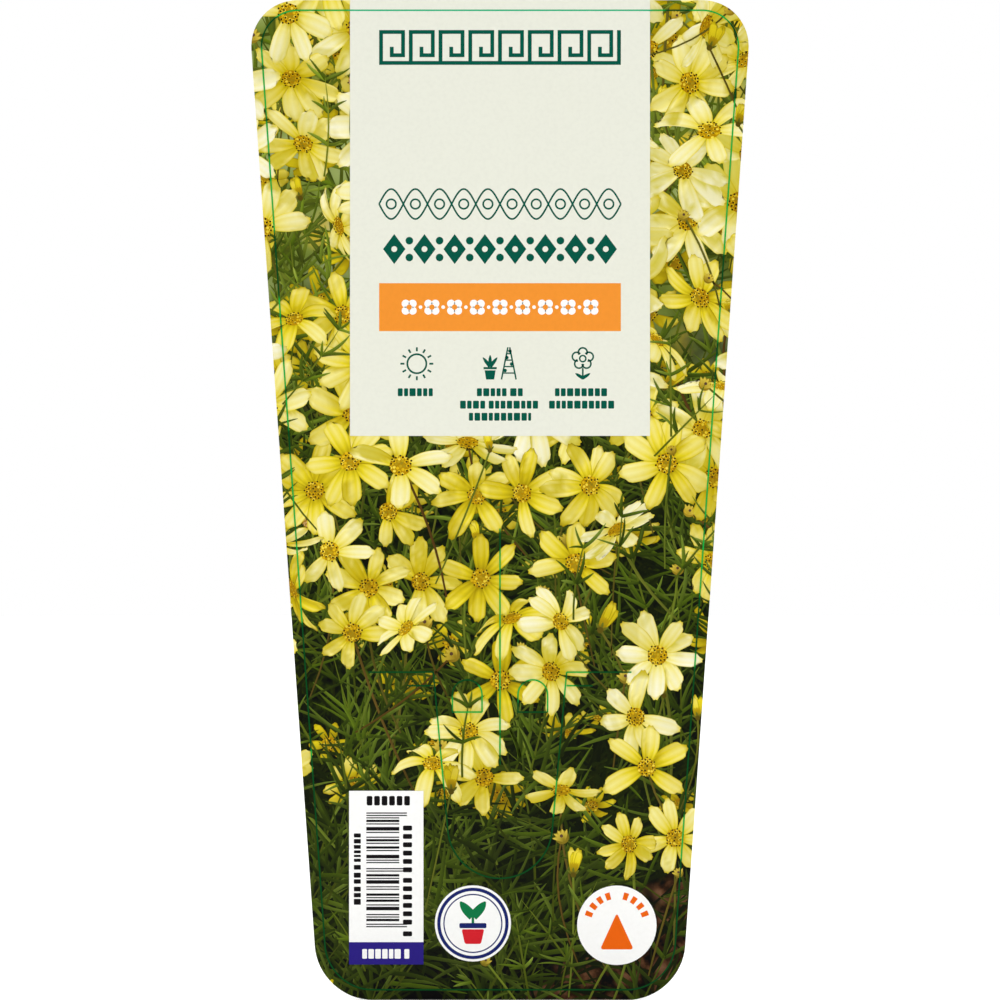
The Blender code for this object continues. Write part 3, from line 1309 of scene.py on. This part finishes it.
# The code panel at the bottom left: a white tint with a blue-violet foot, printed over
# the picture. Its bars follow a plain rule and stand for no number, and rows of small
# blocks run round them.
ink_black = display(24, 22, 24)
ink_violet = display(46, 35, 129)
code = Film()
code_left = -41.2 * mm
code_right = -20.9 * mm
code_foot = 9.7 * mm
strip_top = 15.8 * mm
code_top = 57.1 * mm
Pen(code, ink_white, panel_lift).block(bar(code_left, code_right, strip_top, code_top))
Pen(code, ink_violet, panel_lift).block(bar(code_left, code_right, code_foot, strip_top))
white, black = Pen(code, ink_white, art_lift), Pen(code, ink_black, art_lift)
block_row(white, random.Random(73), -37.6 * mm, -24.6 * mm, 11.3 * mm, 13.9 * mm)

module = 0.33 * mm
bars_top = 51.2 * mm
bars_left = -36.5 * mm
bars_right = -27.5 * mm
guard_right = -25.4 * mm
bar_widths = (1, 2, 1, 3, 1, 1, 2)
gap_widths = (1, 1, 2, 1, 3)
modules = 95
guards = (0, 2, 46, 48, 92, 94)
first_bar = 4
middle_low = 45
middle_high = 50
for guard in guards:
    z = bars_top - guard * module
    black.block(bar(bars_left, guard_right, z - module, z))
at, index = first_bar, 0
while at < modules - 1 - first_bar:
    wide = bar_widths[index % len(bar_widths)]
    if at + wide < middle_low or middle_high < at:
        z = bars_top - at * module
        wide = min(wide, modules - first_bar - at)
        black.block(bar(bars_left, bars_right, z - wide * module, z))
    at += wide + gap_widths[index % len(gap_widths)]
    index += 1

for index in range(6):
    x = -36.4 * mm + index * 2.05 * mm
    black.block(bar(x, x + 1.55 * mm, 53.1 * mm, 55.7 * mm), 0.4 * mm)
beside_bars = Pen(code, ink_black, art_lift + art_step)
for index in range(13):
    z = 17.4 * mm + index * 2.28 * mm + (0.9 * mm if index else 0) + (0.6 * mm if index > 6 else 0)
    beside_bars.block(bar(-26.5 * mm, -24.0 * mm, z, z + 1.35 * mm), 0.35 * mm)
z = 26.0 * mm
for length in (2.0, 1.5, 1.6, 0.0, 1.5, 1.7, 0.0, 1.6, 0.0, 1.1, 0.8, 1.0, 1.3, 1.5, 1.4):
    if length:
        black.block(bar(-39.9 * mm, -38.0 * mm, z, z + 0.8 * length * mm), 0.2 * mm)
    z += (0.8 * length + 0.42) * mm
print_film(code, "print_code_panel")

# The round badge. It is printed over the picture: a white disc with a dark blue ring
# round a red pot that holds a green sprout.
ink_navy = display(30, 40, 105)
ink_red = display(214, 38, 48)
ink_sprout = display(20, 120, 70)
badge = Film()
badge_x = -7.4 * mm
badge_z = 20.9 * mm
badge_radius = 10.4 * mm
Pen(badge, ink_white, panel_lift).dot(badge_x, badge_z, badge_radius, 48)
navy, sprout = Pen(badge, ink_navy, art_lift), Pen(badge, ink_sprout, art_lift)
for radius, line in ((9.3, 0.9), (7.9, 0.35)):
    navy.line(arc(badge_x, badge_z, radius * mm, 0, 360, 64), line * mm)
pot = trapezium(badge_x, badge_z - 5.6 * mm, badge_z - 1.6 * mm, 2.2 * mm, 3.1 * mm)
Pen(badge, ink_red, art_lift).block(pot, 0.5 * mm)
rim = bar(badge_x - 3.7 * mm, badge_x + 3.7 * mm, badge_z - 1.3 * mm, badge_z + 0.1 * mm)
navy.block(rim, 0.4 * mm)
sprout.line([(badge_x, badge_z + 0.1 * mm), (badge_x, badge_z + 3.4 * mm)], 0.7 * mm)
spread_leaves(sprout, badge_x, badge_z + 2.0 * mm, (-1, 1), -48, 5.2 * mm, 2.6 * mm, 0.12)
print_film(badge, "print_badge")

# The white disc at the bottom right. It is printed over the picture like the badge, with
# an arc of orange blocks over a triangle.
ink_tangerine = display(238, 102, 20)
roundel = Film()
roundel_x = 31.9 * mm
roundel_z = 20.4 * mm
roundel_radius = 10.85 * mm
Pen(roundel, ink_white, panel_lift).dot(roundel_x, roundel_z, roundel_radius, 48)
tangerine = Pen(roundel, ink_tangerine, art_lift)
arc_radius = 8.2 * mm
arc_places = 9
arc_gap = 4
for index in range(arc_places):
    angle = 158 - 136 * index / (arc_places - 1)
    if index != arc_gap:
        mark = arc(roundel_x, roundel_z, arc_radius, angle - 4.6, angle + 4.6, 3)
        tangerine.line(mark, 2.0 * mm)
foot_z, half_foot = roundel_z - 6.6 * mm, 4.6 * mm
feet = [(roundel_x - half_foot, foot_z), (roundel_x + half_foot, foot_z)]
tangerine.block([*feet, (roundel_x, roundel_z + 3.4 * mm)], 0.9 * mm)
print_film(roundel, "print_disc")

# The die lines: thin green rules that the printer leaves along the edge and along every
# cut. The ink is thin, so it shows pale on cream, duller on petals and dark on leaves.
line_on_cream = display(17, 182, 126)
line_on_petal = display(24, 168, 66)
line_on_leaf = display(2, 74, 32)
die_line = 0.40 * mm
line_inset = 2.8 * mm
line_lift = 290 * micron
line_step = 1.2 * mm
flowers = flower_tree(blooms)


def line_ink(x, z):
    if abs(x) < panel_half_width and z > panel_foot:
        return line_on_cream
    if flowers.ray_cast(Vector((x, -1, z)), Vector((0, 1, 0)))[0]:
        return line_on_petal
    return line_on_leaf


def divided(points):
    """The same path with points at even steps along its long sides."""
    path = [points[0]]
    for (a, b), (c, d) in zip(points, points[1:]):
        steps = max(1, round(hypot(c - a, d - b) / line_step))
        path += [(a + (c - a) * n / steps, b + (d - b) * n / steps) for n in range(1, steps + 1)]
    return path


die_lines = Film()
rule_pen = Pen(die_lines, line_ink, line_lift)
edge = label_outline(line_inset)
tongue_cut = tongue_outline()
rules = [
    [*edge, edge[0]],
    [*tongue_cut[1:], tongue_cut[0]],
    [(0, 128.7 * mm), (0, 64.2 * mm)],
]
for side in (-1, 1):
    for reach, z in slit_rows:
        rules.append([(side * root_half_width, z), (side * reach, z)])
    arch = flap_arch(side * flap_offset, flap_radius)
    rules.append([*arch, arch[0]])
for points in rules:
    rule_pen.line(divided(points), die_line)
print_film(die_lines, "print_die_lines", eased=False)
